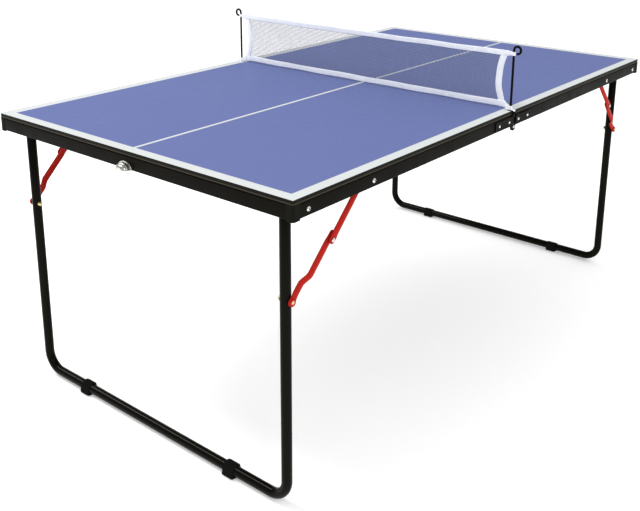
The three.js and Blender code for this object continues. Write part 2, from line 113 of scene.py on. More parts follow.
# The hinges between the halves
HINGE_Z = 717
LOBE_RADIUS = 11
PLATE_Y = SIDE_Y + FIT
PLATE_THICKNESS = 2.5
PLATE_END = 99
PLATE_BOTTOM = 721
PLATE_TOP = 747
PLATE_SCREWS = (26, 79)
SCREW_Z = 734
PIN_BACK, PIN_END = 511.4, 509.4
SOFT_PLATE = 0.6

# The clip in the notch between the halves, which holds the net's post
CLIP_BACK = 499.6
CLIP_LOW_FACE = 510.5
CLIP_FACE = 514.2
CLIP_BOTTOM, CLIP_STEP, CLIP_TOP = 734, 743.4, 751.8
CLIP_HALF = 13.7
CLIP_LOW_END = 12.3
CLIP_SCREW = (5, 748)
SOFT_CLIP = 0.5

# The net's posts
POST_Y = 505
POST_RADIUS = 3.2
POST_BOTTOM = 736
RING_Z = 926
RING_RADIUS = 10
RING_END = -102

# The net and its tapes, with the flat sizes of its small ones in metres
NET_HALF = 489
NET_BOTTOM = 767
NET_TOP = 923
TAPE = 17
HEAD_TAPE = 15
SIDE_TAPE = 19
SIDE_BOW = 15
NET_PITCH = 4.2
THREAD = 1.15
NET_WAVE = 1.3
NET_SAG = 1.5
LONG_TAPE_THICKNESS = 3.2
SIDE_TAPE_THICKNESS = 2.0
LOOP_THICKNESS = 1.2
LOOP_SIDE = 1.9
STRAP_THICKNESS = 1.4
SIDE_TAPE_SIZE = (0.155, 0.019)
LOOP_SIZE = (0.06, 0.012)
STRAP_SIZE = (0.03, 0.012)
# (y, z, half width) steps, from the bottom tape over the board's edge
STRAP = [
    (NET_HALF + 2, TOP_Z + 3, 5), (497, TOP_Z + 2.2, 6), (504, TOP_Z + 1.8, 6.5), (510, TOP_Z + 1.6, 6.5),
    (SIDE_Y, TOP_Z + 1, 6), (SIDE_Y + 2.1, TOP_Z - 0.4, 5), (SIDE_Y + 2.7, TOP_Z - 2.4, 4),
]

# The catches on the end rails
CATCH_Z = RAIL_BOTTOM + FIT
CATCH_STRETCH = Vector((1, 1.1, 0.82))
CATCH_STEPS = 40

# The set, in metres, watts and degrees, but for the camera's sensor and lens in millimetres.
# A lamp has a place, a size and a power.
ROOM_MIDDLE = (0, 0, 0.5)
KEY = ((-2.6, -3.2, 3.4), 1.1, 34)
FILL = ((3.2, -2.2, 2.6), 3.0, 20)
STRIP = ((-1.7, 4.2, 4.7), 1.1, 230)
STRIP_LENGTH = 4.2
WORLD_STRENGTH = 0.97
WORLD_IN_REFLECTIONS = 0.42
FLOOR_GLOW = 0.2
FLOOR_HALF = 60
FLOOR_Z = -0.0005
CAMERA = (-2.1385, -1.5976, 1.3801)
AZIMUTH, ELEVATION, ROLL = -50.7, 15.705, 0.215
SENSOR = 36
LENS = 50.5
SHIFT = (-0.0033, -0.2055)

ENDS = {"near": -1, "far": 1}
SIDES = {"right": -1, "left": 1}


# ---- Materials ----------------------------------------------------------------------------


class Nodes:
    """A new material's node tree, with short ways to add nodes and join them."""

    def __init__(self, name):
        self.material = bpy.data.materials.new(name)
        self.material.use_nodes = True
        self.tree = self.material.node_tree
        self.shader = self.tree.nodes["Principled BSDF"]
        self.place = self.add("ShaderNodeTexCoord").outputs["Object"]

    def add(self, kind, **inputs):
        node = self.tree.nodes.new(kind)
        for key, value in inputs.items():
            self.feed(node.inputs[key.replace("_", " ")], value)
        return node

    def feed(self, socket, value):
        if isinstance(value, bpy.types.NodeSocket):
            self.tree.links.new(value, socket)
        else:
            socket.default_value = value

    def math(self, operation, a, b=0.0):
        node = self.tree.nodes.new("ShaderNodeMath")
        node.operation = operation
        self.feed(node.inputs[0], a)
        self.feed(node.inputs[1], b)
        return node.outputs[0]

    def noise(self, size, detail=2.0):
        """Noise whose patches are about size metres across, from 0 to 1."""
        texture = self.add("ShaderNodeTexNoise", Vector=self.place, Scale=1 / size, Detail=detail)
        return texture.outputs["Fac"]

    def between(self, factor, low, high):
        """The middle of a noise's range, stretched from low to high."""
        node = self.add("ShaderNodeMapRange", Value=factor)
        self.feed(node.inputs["From Min"], 0.3)
        self.feed(node.inputs["From Max"], 0.7)
        self.feed(node.inputs["To Min"], low)
        self.feed(node.inputs["To Max"], high)
        return node.outputs["Result"]

    def mix(self, factor, first, second):
        node = self.tree.nodes.new("ShaderNodeMix")
        node.data_type = "RGBA"
        self.feed(node.inputs[0], factor)
        self.feed(node.inputs[6], first)
        self.feed(node.inputs[7], second)
        return node.outputs[2]

    def bump(self, height, depth):
        node = self.add("ShaderNodeBump", Height=height, Distance=depth)
        self.feed(self.shader.inputs["Normal"], node.outputs["Normal"])

    def set(self, **inputs):
        for key, value in inputs.items():
            self.feed(self.shader.inputs[key.replace("_", " ")], value)


def srgb(*channels):
    """A linear colour from 0 to 255 display values."""
    def linear(value):
        share = value / 255
        return share / 12.92 if share <= 0.04045 else ((share + 0.055) / 1.055) ** 2.4
    return (*map(linear, channels), 1)


def scaled(colour, share):
    return (*(channel * share for channel in colour[:3]), 1)


def varied(name, colour, tone, patch, rough, grain=None, **settings):
    """A material whose tone and roughness drift a little, with an optional (size, depth) grain."""
    nodes = Nodes(name)
    drift = nodes.noise(patch)
    dark, light = scaled(colour, 1 - tone), scaled(colour, 1 + tone)
    toned = nodes.mix(nodes.between(drift, 0.0, 1.0), dark, light)
    nodes.set(Base_Color=toned, Roughness=nodes.between(drift, *rough), **settings)
    if grain:
        size, depth = grain
        nodes.bump(nodes.noise(size, 3.0), depth)
    return nodes.material


def playfield():
    """Blue lacquer with a white border and centre line, and a black edge with a painted highlight along
    its foot.
    """
    nodes = Nodes("blue playfield")
    axes = nodes.add("ShaderNodeSeparateXYZ", Vector=nodes.place)
    along = nodes.math("ABSOLUTE", axes.outputs["X"])
    across = nodes.math("ABSOLUTE", axes.outputs["Y"])

    def beyond(x_limit, y_limit):
        return nodes.math(
            "MAXIMUM",
            nodes.math("GREATER_THAN", along, x_limit * MM),
            nodes.math("GREATER_THAN", across, y_limit * MM),
        )

    centre = nodes.math("LESS_THAN", across, LINE / 2 * MM)
    lines = nodes.math("MAXIMUM", beyond(END_X - BORDER, SIDE_Y - BORDER), centre)
    above = nodes.math("GREATER_THAN", axes.outputs["Z"], (TOP_Z - SOFT_BOARD) * MM)
    side = beyond(END_X - EDGE_TRIM, SIDE_Y - EDGE_TRIM)
    trim = nodes.math("MAXIMUM", side, nodes.math("SUBTRACT", 1.0, above))
    drift = nodes.between(nodes.noise(0.18), 0.0, 1.0)
    blue = nodes.mix(drift, srgb(98, 109, 159), srgb(99, 110, 160))
    white = nodes.mix(drift, srgb(199, 203, 203), srgb(202, 206, 206))
    painted = nodes.mix(lines, blue, white)
    # The lowest few millimetres of the black edge are painted paler: a painted highlight along the seam
    # above the rail.
    highlight_top = (TOP_Z - BOARD_THICKNESS + EDGE_HIGHLIGHT_HEIGHT) * MM
    low = nodes.math("LESS_THAN", axes.outputs["Z"], highlight_top)
    edge = nodes.mix(nodes.math("MINIMUM", side, low), srgb(20, 19, 15), srgb(54, 51, 41))
    colour = nodes.mix(trim, painted, edge)
    nodes.set(Base_Color=colour, Roughness=nodes.between(nodes.noise(0.02), 0.42, 0.5), IOR=1.13)
    nodes.bump(nodes.noise(0.0025, 3.0), 0.00003)
    return nodes.material


def woven(name, colour, pitch, depth):
    """A cloth whose yarns cross at that pitch, in metres."""
    nodes = Nodes(name)
    axes = nodes.add("ShaderNodeSeparateXYZ", Vector=nodes.place)
    yarns = [
        nodes.math("SINE", nodes.math("MULTIPLY", axes.outputs[axis], 2 * math.pi / pitch))
        for axis in ("Y", "Z")
    ]
    drift = nodes.between(nodes.noise(0.02), 0.0, 1.0)
    toned = nodes.mix(drift, scaled(colour, 0.93), colour)
    nodes.set(Base_Color=toned, Roughness=nodes.between(drift, 0.8, 0.95), Sheen_Weight=0.2)
    nodes.bump(nodes.math("MULTIPLY", *yarns), depth)
    return nodes.material


BLACK = srgb(12, 11, 8)
DULL = {"IOR": 1.11, "Specular_Tint": (1, 0.96, 0.8, 1)}
GLOSSY = {"IOR": 1.15, "Specular_Tint": (1, 0.95, 0.82, 1)}
METAL = {"Metallic": 1.0}
# After its name and colour, a row gives varied's tone, patch, roughness range and grain.
MATERIALS = {
    "playfield": playfield(),
    "frame": varied("black frame steel", BLACK, 0.1, 0.04, (0.38, 0.5), (0.0012, 0.00002), **DULL),
    "leg": varied("black leg tube", BLACK, 0.08, 0.05, (0.1, 0.16), (0.002, 0.00002), **GLOSSY),
    "plastic": varied(
        "black cap plastic", srgb(20, 20, 17), 0.08, 0.01, (0.48, 0.6), (0.0008, 0.00005), **DULL,
    ),
    "rubber": varied(
        "black foot rubber", srgb(17, 17, 16), 0.1, 0.01, (0.55, 0.7), (0.0015, 0.00008), **DULL,
    ),
    "red": varied("red stay steel", srgb(170, 34, 26), 0.06, 0.03, (0.3, 0.4), (0.002, 0.00002), **DULL),
    "chrome": varied("bright chrome", srgb(222, 222, 216), 0.12, 0.004, (0.14, 0.3), **METAL),
    "catch": varied("polished catch", srgb(206, 206, 201), 0.08, 0.006, (0.2, 0.34), **METAL),
    "rivet": varied("passivated rivet", srgb(222, 204, 152), 0.1, 0.004, (0.25, 0.36), **METAL),
    "wire": varied("black post wire", srgb(12, 12, 12), 0.1, 0.02, (0.2, 0.3), (0.002, 0.00001), **DULL),
    "thread": varied(
        "grey net thread", srgb(100, 108, 134), 0.03, 0.01, (0.8, 0.9), Sheen_Weight=0.1,
    ),
    "tape": woven("white net tape", srgb(238, 241, 247), 0.0012, 0.00012),
}


# ---- Shapes -------------------------------------------------------------------------------


def shell(rings):
    """A closed skin through rings of points, with a flat cap at both ends."""
    count = len(rings[0])
    last = (len(rings) - 1) * count
    faces = [
        (start + j, start + (j + 1) % count, start + count + (j + 1) % count, start + count + j)
        for start in range(0, last, count) for j in range(count)
    ]
    faces += [tuple(range(count)), tuple(range(last, last + count))]
    return [point for ring in rings for point in ring], faces


def joined(parts):
    """Several closed skins as one shape."""
    points, faces = [], []
    for part_points, part_faces in parts:
        start = len(points)
        points += part_points
        faces += [tuple(start + i for i in face) for face in part_faces]
    return points, faces


def circle(count, start=0.0):
    """Angles round a full turn."""
    return [start + 2 * math.pi * i / count for i in range(count)]


def tangents(path):
    """The direction at each point of a path."""
    steps = [(b - a).normalized() for a, b in zip(path, path[1:])]
    middle = [(a + b).normalized() for a, b in zip(steps, steps[1:])]
    return [steps[0], *middle, steps[-1]]


def tube(path, radius, sides):
    """A round bar along a path, with slightly domed ends."""
    path = [Vector(point) for point in path]
    directions = tangents(path)
    first, last = directions[0], directions[-1]
    dome = [(0.5, 0.0), (0.87, 0.2), (1.0, 0.5)]
    starts = [path[0] + first * radius * back for _, back in dome]
    stops = [path[-1] - last * radius * back for _, back in reversed(dome)]
    path = [*starts, *path[1:-1], *stops]
    directions = [*[first] * len(dome), *directions[1:-1], *[last] * len(dome)]
    shares = [share for share, _ in dome]
    sizes = [*shares, *[1.0] * (len(path) - 2 * len(dome)), *reversed(shares)]
    side = first.orthogonal()
    rings = []
    for point, direction, size in zip(path, directions, sizes):
        side = (side - direction * side.dot(direction)).normalized()
        up = direction.cross(side)
        rings.append([
            point + (side * math.cos(a) + up * math.sin(a)) * size * radius for a in circle(sides)
        ])
    return shell(rings)


def turned(profile, x, z, sides=32):
    """A turned piece along Y at (x, z), through (radius, depth) steps from the side rail's face."""
    angles = circle(sides)
    return shell([
        [Vector((x + radius * math.cos(a), SIDE_Y - depth, z + radius * math.sin(a))) for a in angles]
        for radius, depth in profile
    ])


def slab(outline, y0, y1):
    """A flat plate between two depths across the table, from an outline of (x, z) points."""
    return shell([[Vector((x, y, z)) for x, z in outline] for y in (y0, y1)])


def band(path, width_axis, half_widths, thickness):
    """A flat strap along a path. half_widths has a value for each point, along width_axis."""
    path = [Vector(point) for point in path]
    wide = Vector(width_axis)
    section = [(1, 0), (0.8, 0.5), (0, 0.6), (-0.8, 0.5), (-1, 0), (-0.8, -0.5), (0, -0.6), (0.8, -0.5)]
    rings = []
    for point, direction, half in zip(path, tangents(path), half_widths):
        across = (wide - direction * wide.dot(direction)).normalized()
        normal = across.cross(direction)
        rings.append([point + across * half * w + normal * thickness * t for w, t in section])
    return shell(rings)


def arc(centre, radius, start, stop, steps):
    """(across, up) points round an arc, with angles in degrees from the first axis."""
    angles = [math.radians(start + (stop - start) * i / steps) for i in range(steps + 1)]
    return [(centre[0] + radius * math.cos(a), centre[1] + radius * math.sin(a)) for a in angles]


def add_piece(name, shape, look, body, end=1, side=1, replaces=(), sharp=35):
    """Adds a piece drawn for the far left corner, mirrored to its end and side, riding on a CAD body."""
    points, faces = shape
    flip = Vector((end, side, 1))
    mesh = bpy.data.meshes.new(name)
    mesh.from_pydata([point * flip * MM for point in points], [], faces)
    work = bmesh.new()
    work.from_mesh(mesh)
    bmesh.ops.recalc_face_normals(work, faces=work.faces)
    work.to_mesh(mesh)
    work.free()
    mesh.materials.append(MATERIALS[look])
    mesh.shade_smooth()
    mesh.set_sharp_from_angle(angle=math.radians(sharp))
    piece = bpy.data.objects.new(name, mesh)
    bpy.context.scene.collection.objects.link(piece)
    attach(piece, body)
    if replaces:
        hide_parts(*replaces)
    return piece


def soften(piece, width):
    """Rounds a piece's hard edges."""
    bevel = piece.modifiers.new("soft edges", "BEVEL")
    bevel.width = width * MM
    bevel.segments = 2
    bevel.limit_method = "ANGLE"
    bevel.angle_limit = math.radians(40)


# ---- The half tables ----------------------------------------------------------------------


def dress(node, look, edge=0.0):
    """Gives a CAD node its look and, where edge is given, rounder edges."""
    piece = cad_nodes[node]
    piece.data.materials.clear()
    piece.data.materials.append(MATERIALS[look])
    if edge:
        soften(piece, edge)


def rail_section():
    """(depth, z) round a rolled channel with a rounded shoulder, from its lower flange's inner edge."""
    low, high = RAIL_BOTTOM + RAIL_FOOT, RAIL_TOP - RAIL_SHOULDER
    inner_radius = RAIL_SHOULDER - RAIL_WALL
    return [
        (RAIL_DEPTH, RAIL_BOTTOM), *arc((RAIL_FOOT, low), RAIL_FOOT, 270, 180, 4),
        *arc((RAIL_SHOULDER, high), RAIL_SHOULDER, 180, 90, 8), (RAIL_DEPTH, RAIL_TOP),
        (RAIL_DEPTH, RAIL_TOP - RAIL_WALL), *arc((RAIL_SHOULDER, high), inner_radius, 90, 180, 6),
        (RAIL_WALL, RAIL_BOTTOM + RAIL_WALL), (RAIL_DEPTH, RAIL_BOTTOM + RAIL_WALL),
    ]


def side_rail():
    """The channel along one side of a half, between its hinge and its corner cap."""
    ends = (RAIL_START, END_X - CAP_ALONG_SIDE - FIT)
    return shell([[Vector((x, SIDE_Y - depth, z)) for depth, z in rail_section()] for x in ends])


def end_rail():
    """The channel along the end of a half, between its corner caps."""
    half = SIDE_Y - CAP_ALONG_END - FIT
    return shell([[Vector((END_X - depth, y, z)) for depth, z in rail_section()] for y in (-half, half)])


# ---- The fasteners ------------------------------------------------------------------------

# Profiles of (radius, depth) steps, from the head that shows to the far end.
RAIL_INSIDE = RAIL_WALL + FIT
LEG_INSIDE = LEG_GAP + 2 * LEG_RADIUS + FIT
STAY_INSIDE = UPPER_STAY_DEPTH + STAY_THICKNESS + FIT
SCREW_HEAD = [(0.4, -3.1), (2.2, -3.0), (4.0, -2.4), (5.2, -1.4), (5.7, -0.45), (5.7, -FIT)]
LEG_BOLT = [
    *SCREW_HEAD, (4, -FIT), (4, RAIL_INSIDE), (8, RAIL_INSIDE), (8, LEG_GAP - FIT), (4, LEG_GAP - FIT),
    (4, LEG_INSIDE), (7, LEG_INSIDE), (7, LEG_INSIDE + 4.3), (6.2, LEG_INSIDE + 5),
]
UPPER_STAY_BOLT = [
    *SCREW_HEAD, (3, -FIT), (3, RAIL_INSIDE), (6, RAIL_INSIDE), (6, UPPER_STAY_DEPTH - FIT),
    (3, UPPER_STAY_DEPTH - FIT), (3, STAY_INSIDE), (5, STAY_INSIDE), (5, STAY_INSIDE + 0.6),
    (4.2, STAY_INSIDE + 1.2), (0.5, STAY_INSIDE + 1.3),
]
KNEE_RIVET = [
    (0.4, 21.7), (2.4, 21.9), (4.2, 22.6), (5, 23.5), (5, UPPER_STAY_DEPTH - FIT),
    (3, UPPER_STAY_DEPTH - FIT), (3, STAY_INSIDE), (4, STAY_INSIDE), (4, STAY_INSIDE + 0.6),
    (3.2, STAY_INSIDE + 1), (0.4, STAY_INSIDE + 1),
]
LOWER_STAY_BOLT = [
    (0.4, 41.0), (2.6, 41.2), (4.4, 42.0), (5, 43.0), (5, LOWER_STAY_END_DEPTH - FIT),
    (3, LOWER_STAY_END_DEPTH - FIT), (3, LEG_INSIDE), (6.2, LEG_INSIDE), (6.2, 78.0), (5.6, 80.6),
    (3.6, 82.2), (0.4, 82.6),
]
WASHER = [(5.0, -0.5), (6.8, -0.5), (7.4, -0.2), (7.4, 0.2), (5.0, 0.2)]
# A black disc in a bolt head's socket: painted shade in the socket
SOCKET_SHADE = [(0.4, -3.3), (1.5, -3.3), (1.9, -3.15), (1.9, -2.2), (0.4, -2.2)]
STAY_COLLAR = [(6.5, 42.1), (7.2, 41.5), (8.6, 41.8), (9.3, 42.9), (9.3, 44.2), (6.5, 44.2)]
# A black disc behind the stay's rivet: painted shade in the recess round it
STAY_RECESS_SHADE = [(0.4, 42.3), (5.6, 42.3), (6.2, 42.6), (6.2, 43.4), (0.4, 43.4)]
# (radius, z) steps up the clip's collar
CLIP_COLLAR = [(5.2, 750.5), (6.4, 751.0), (6.4, 757.5), (5.6, 758.5), (POST_RADIUS, 758.5)]
# (radius, height) steps above the face that a screw stands on
PLATE_SCREW = [(0.4, 2.1), (1.6, 1.95), (3.0, 1.35), (3.8, 0.45), (3.9, 0.0), (2.2, 0.0), (2.2, -3.0)]
CLIP_KNOB = [
    (0.4, 5.0), (3.0, 4.9), (4.6, 4.3), (5.6, 3.2), (6.0, 1.8), (6.0, 0.0), (2.5, 0.0), (2.5, -3.0),
]


# ---- The stays ----------------------------------------------------------------------------


def stay_places(length):
    """Distances along a stay from its pivot, closer together round its ends."""
    half = STAY_HALF_WIDTH
    ends = [half * (1 - math.cos(math.pi / 2 * i / 6)) for i in range(1, 7)]
    middle = range(3, int(length), 6)
    return [*(end - half for end in ends), *middle, *(length + half - end for end in reversed(ends))]


def stay_section(place, length):
    """(aside, depth) steps round a stay: nearly flat at its ends, raised between lips elsewhere."""
    half = STAY_HALF_WIDTH
    beyond = max(0.0, -place, place - length)
    width = math.sqrt(max(half * half - beyond * beyond, 0.2))
    inland = min(place, length - place)
    raised = min(max((inland - STAY_RAMP_START) / STAY_RAMP, 0.0), 1.0)
    outer, inner = [], []
    for share in STAY_ACROSS:
        crown = raised * (1 - min(abs(share) / CROWN_HALF, 1.0) ** 2.2)
        crown += END_CROWN * (1 - abs(share) ** 3)
        lip = STAY_LIP * raised * max(0.0, abs(share) - STAY_LIP_START) / (1 - STAY_LIP_START)
        outer.append((share * width, STAY_FACE - FACE_RISE * min(crown, 1.1) + lip))
        inner.append((share * width, STAY_BACK - BACK_RISE * min(crown, 1.0) + lip))
    return outer + inner[::-1]


def stay(pivot, towards, length, depth_at):
    """A pressed bar with round ends, from its pivot towards a point in X and Z."""
    along = (Vector(towards) - Vector(pivot)).normalized()
    rings = []
    for place in stay_places(length):
        x = pivot[0] + along.x * place
        y = SIDE_Y - depth_at(place)
        z = pivot[1] + along.y * place
        rings.append([
            Vector((x - along.y * aside, y - depth, z + along.x * aside))
            for aside, depth in stay_section(place, length)
        ])
    return shell(rings)


def jogged_depth(place):
    """The lower stay runs beside the upper one, and steps inwards to reach the leg."""
    start, stop = STAY_JOG
    share = min(max((place - start) / (stop - start), 0.0), 1.0)
    smooth = share * share * (3 - 2 * share)
    return LOWER_STAY_END_DEPTH + (LOWER_STAY_DEPTH - LOWER_STAY_END_DEPTH) * smooth


def add_stays(end_name, side_name):
    """One leg's pair of stays, with the rivets at their knee and at the leg."""
    end, side = ENDS[end_name], SIDES[side_name]
    where = f"{end_name}_{side_name}"
    leg = f"{end_name}_leg"
    upper, lower = f"{where}_upper_stay", f"{where}_lower_stay"
    foot_pivot = (LEG_X, STAY_LEG_Z)
    upper_shape = stay((STAY_PIVOT_X, PIVOT_Z), KNEE, LINK, lambda place: UPPER_STAY_DEPTH)
    lower_shape = stay(foot_pivot, KNEE, LINK + STAY_TAB, jogged_depth)
    knee = turned(KNEE_RIVET, *KNEE)
    rivet = turned(LOWER_STAY_BOLT, *foot_pivot)
    for name, shape, look, body, node, slot in (
        ("upper_stay_bar", upper_shape, "red", upper, "upper_stay", None),
        ("lower_stay_bar", lower_shape, "red", lower, "lower_stay", None),
        ("knee_rivet_head", knee, "chrome", upper, "knee_rivet", "stay_rivet"),
        ("stay_rivet", rivet, "rivet", leg, "lower_stay_bolt", None),
    ):
        add_piece(f"{where}_{name}", shape, look, body, end, side, [f"{where}_{node}"])
    collar = turned(STAY_COLLAR, *foot_pivot)
    # The black disc round the rivet is painted shade in the recess inside the red collar
    recess_shade = turned(STAY_RECESS_SHADE, *foot_pivot)
    add_piece(f"{where}_rivet_collar", collar, "red", lower, end, side)
    add_piece(f"{where}_rivet_recess_shade", recess_shade, "wire", lower, end, side)


# ---- The leg frames -----------------------------------------------------------------------


def leg_path():
    """Down one leg, along the floor bar and up the other leg."""
    corner_y = LEG_Y - LEG_BEND
    corner_z = BAR_Z + LEG_BEND
    left = arc((corner_y, corner_z), LEG_BEND, 0, -90, 16)
    right = arc((-corner_y, corner_z), LEG_BEND, -90, -180, 16)
    outline = [(LEG_Y, LEG_TOP), *left, *right, (-LEG_Y, LEG_TOP)]
    return [(LEG_X, y, z) for y, z in outline]


def sleeve_radius(place):
    """The foot's round sleeve: ribs in its middle, and a plain collar that tapers in at both ends."""
    taper = min(1.0, (1 - abs(place)) * 14)
    rib = 0.5 + 0.5 * math.cos(place * math.pi * FOOT_RIBS)
    raised = RIB_HEIGHT * rib if abs(place) < FOOT_RIBBED else RIB_HEIGHT / 2
    return LEG_RADIUS + FOOT_CLEARANCE + (FOOT_SLEEVE + raised) * taper


def foot_ring(place):
    """The foot's section at a place from -1 to 1 along it."""
    sleeve = sleeve_radius(place)
    middle = max(0.0, 1 - (abs(place) / SOLE_SHARE) ** 8) ** (1 / 8)
    sole = sleeve + (FOOT_HALF_WIDTH - sleeve) * middle
    power = SOLE_SQUARENESS
    y = FOOT_Y + place * FOOT_HALF_LENGTH
    ring = []
    for a in circle(48, -math.pi / 2):
        level = math.sin(a)
        corner = ((abs(math.cos(a)) / sole) ** power + (abs(level) / BAR_Z) ** power) ** (-1 / power)
        blend = min(max((-0.1 - level) / 0.4, 0.0), 1.0)
        lip = FOOT_LIP * max(0.0, 1 - (abs(a - LIP_ANGLE) / LIP_REACH) ** 4) * middle
        radius = sleeve + (max(corner, sleeve) - sleeve) * blend + lip
        up = max(radius * level, -BAR_Z)
        ring.append(Vector((LEG_X + radius * math.cos(a), y, BAR_Z + up)))
    return ring


def foot():
    """A ribbed rubber sleeve round the floor bar, with a lip above and a wider flat sole below."""
    return shell([foot_ring(-1 + 2 * i / FOOT_STEPS) for i in range(FOOT_STEPS + 1)])


# ---- The hinges ---------------------------------------------------------------------------


def hinge_outline():
    """(x, z) round a hinge plate, whose round lobe holds the pin below the rails."""
    start, shoulder, corner = 3, 16, 3.0
    right = PLATE_END - corner
    return [
        (start, PLATE_TOP),
        *arc((right, PLATE_TOP - corner), corner, 90, 0, 5),
        *arc((right, PLATE_BOTTOM + corner), corner, 0, -90, 5),
        (shoulder, PLATE_BOTTOM),
        *arc((0, HINGE_Z), LOBE_RADIUS, -20, -285, 30),
    ]


def face_screw(profile, x, z, face):
    """A turned screw on a face at that y, from (radius, height above the face) steps."""
    return turned([(radius, SIDE_Y - face - out) for radius, out in profile], x, z, 24)


def hinge_pin():
    """The rivet that both plates turn on, through (radius, y) steps."""
    out = PLATE_Y + PLATE_THICKNESS
    profile = [
        (0.4, out + 2.2), (2.6, out + 2.0), (3.8, out + 1.5), (4.5, out + 0.5), (4.5, out + 0.1),
        (3.2, out + 0.1), (3.2, PIN_BACK), (5.2, PIN_BACK), (5.2, PIN_END),
    ]
    return turned([(radius, SIDE_Y - y) for radius, y in profile], 0, HINGE_Z)


def block(x0, x1, z0, z1, y0, y1):
    """A plain box between those limits."""
    return slab([(x0, z0), (x1, z0), (x1, z1), (x0, z1)], y0, y1)


def post_clip():
    """The block that fills the notch between the halves, with a collar for the post."""
    low = block(-CLIP_HALF, CLIP_LOW_END, CLIP_BOTTOM, CLIP_STEP, CLIP_BACK, CLIP_LOW_FACE)
    high = block(-CLIP_HALF, CLIP_HALF, CLIP_STEP, CLIP_TOP, CLIP_BACK, CLIP_FACE)
    collar = shell([
        [Vector((radius * math.cos(a), POST_Y + radius * math.sin(a), z)) for a in circle(24)]
        for radius, z in CLIP_COLLAR
    ])
    return joined([low, high, collar])


def add_hinge_screws(side_name):
    """Two screws in each half's plate."""
    for end_name, end in ENDS.items():
        for number, x in enumerate(PLATE_SCREWS, 1):
            screw = face_screw(PLATE_SCREW, x, SCREW_Z, PLATE_Y + PLATE_THICKNESS)
            name = f"{end_name}_{side_name}_hinge_screw_{number}"
            add_piece(name, screw, "chrome", f"{end_name}_half", end, SIDES[side_name])


def add_hinge(side_name):
    """The near half's plate, the pin, the screws of both plates and the post's clip."""
    def add(name, shape, look, replaces=()):
        return add_piece(name, shape, look, "near_half", -1, SIDES[side_name], replaces)

    leaf = slab(hinge_outline(), PLATE_Y, PLATE_Y + PLATE_THICKNESS)
    plate = f"near_{side_name}_hinge_plate"
    leaf_piece = add(f"near_{side_name}_hinge_leaf", leaf, "frame", [plate])
    soften(leaf_piece, SOFT_PLATE)
    add(f"{side_name}_pivot_rivet", hinge_pin(), "chrome", [f"{side_name}_hinge_pin"])
    add_hinge_screws(side_name)
    clip = add(f"{side_name}_clip_block", post_clip(), "plastic", [f"{side_name}_post_clip"])
    soften(clip, SOFT_CLIP)
    add(f"{side_name}_clip_screw", face_screw(CLIP_KNOB, *CLIP_SCREW, CLIP_FACE), "wire")


# ---- The net ------------------------------------------------------------------------------


def post_path():
    """Up the post and round its ring."""
    ring = arc((POST_Y + RING_RADIUS, RING_Z), RING_RADIUS, 180, RING_END, 48)
    shaft = [(POST_Y, POST_BOTTOM), (POST_Y, (POST_BOTTOM + RING_Z) / 2)]
    return [(0, y, z) for y, z in [*shaft, *ring]]


def net_point(u, v):
    """A point of the net: u from -1 to 1 across the table, v from 0 at the bottom to 1 at the top."""
    slack = math.sin(math.pi * v)
    reach = NET_HALF - SIDE_TAPE / 2 - SIDE_BOW * slack
    low, high = NET_BOTTOM + TAPE / 2, NET_TOP - TAPE / 2
    ripple = math.sin(9 * u + 1.3) + 0.6 * math.sin(23 * u - 4 * v)
    sag = NET_SAG * (1 - u * u) * v
    free = 1 - u ** 8
    return Vector((NET_WAVE * slack * ripple * free, u * reach, low + (high - low) * v - sag))


def thread(points):
    """A fine square thread through points."""
    half = THREAD / 2
    flat = Vector((1, 0, 0))
    corners = ((1, 0), (0, 1), (-1, 0), (0, -1))
    rings = []
    for point, direction in zip(points, tangents(points)):
        other = direction.cross(flat).normalized()
        rings.append([point + flat * half * a + other * half * b for a, b in corners])
    return shell(rings)


def net_mesh():
    """Threads up and along the net, each with a point at every other crossing."""
    columns = round(2 * NET_HALF / NET_PITCH)
    rows = round((NET_TOP - NET_BOTTOM - TAPE) / NET_PITCH)

    def crossing(i, j):
        return net_point(2 * i / columns - 1, j / rows)

    upright = [[crossing(i, j) for j in range(0, rows + 1, 2)] for i in range(1, columns)]
    level = [[crossing(i, j) for i in range(0, columns + 1, 2)] for j in range(1, rows)]
    return joined([thread(points) for points in upright + level])


def long_tape(z, half_width, sag, phase):
    """The tape along the top or the bottom of the net, folded over its edge."""
    path = []
    for i in range(-60, 61):
        u = i / 60
        drop = sag * (1 - u * u) + 0.5 * math.sin(17 * u + phase)
        path.append((0.8 * math.sin(11 * u + phase), u * NET_HALF, z - drop))
    return band(path, (0, 0, 1), [half_width] * len(path), LONG_TAPE_THICKNESS)


def side_tape():
    """The upright tape at the net's end, which the net's pull bows inwards."""
    path = []
    for i in range(25):
        v = i / 24
        bow = SIDE_BOW * math.sin(math.pi * v) - 0.7 * math.sin(14 * v)
        z = NET_BOTTOM + 1 + v * (NET_TOP - NET_BOTTOM - 3)
        path.append((0.4 * math.sin(8 * v + 1), NET_HALF - SIDE_TAPE / 2 - bow, z))
    return band(path, (0, 1, 0), [SIDE_TAPE / 2] * len(path), SIDE_TAPE_THICKNESS)


def post_loop(start_z, loop_z, start_half, loop_half):
    """A tape's end, narrowing on its way round the post and back."""
    around = [(x, y, 1.0) for y, x in arc((POST_Y, 0), POST_RADIUS + 1.0, -105, 105, 14)]
    lead = [(NET_HALF - 8, 0.0), (NET_HALF + 2, 0.5), (POST_Y - 5, 1.0)]
    out = [(-LOOP_SIDE, y, share) for y, share in lead]
    back = [(LOOP_SIDE, y, share) for y, share in reversed(lead)]
    path = [*out, *around, *back]
    points = [(x, y, start_z + (loop_z - start_z) * share) for x, y, share in path]
    halves = [start_half + (loop_half - start_half) * share for *_, share in path]
    return band(points, (0, 0, 1), halves, LOOP_THICKNESS)


def bottom_strap():
    """The end of the bottom tape that lies over the edge of the board, pierced by the post."""
    path = [(0, y, z) for y, z, _ in STRAP]
    half_widths = [half for *_, half in STRAP]
    return band(path, (1, 0, 0), half_widths, STRAP_THICKNESS)


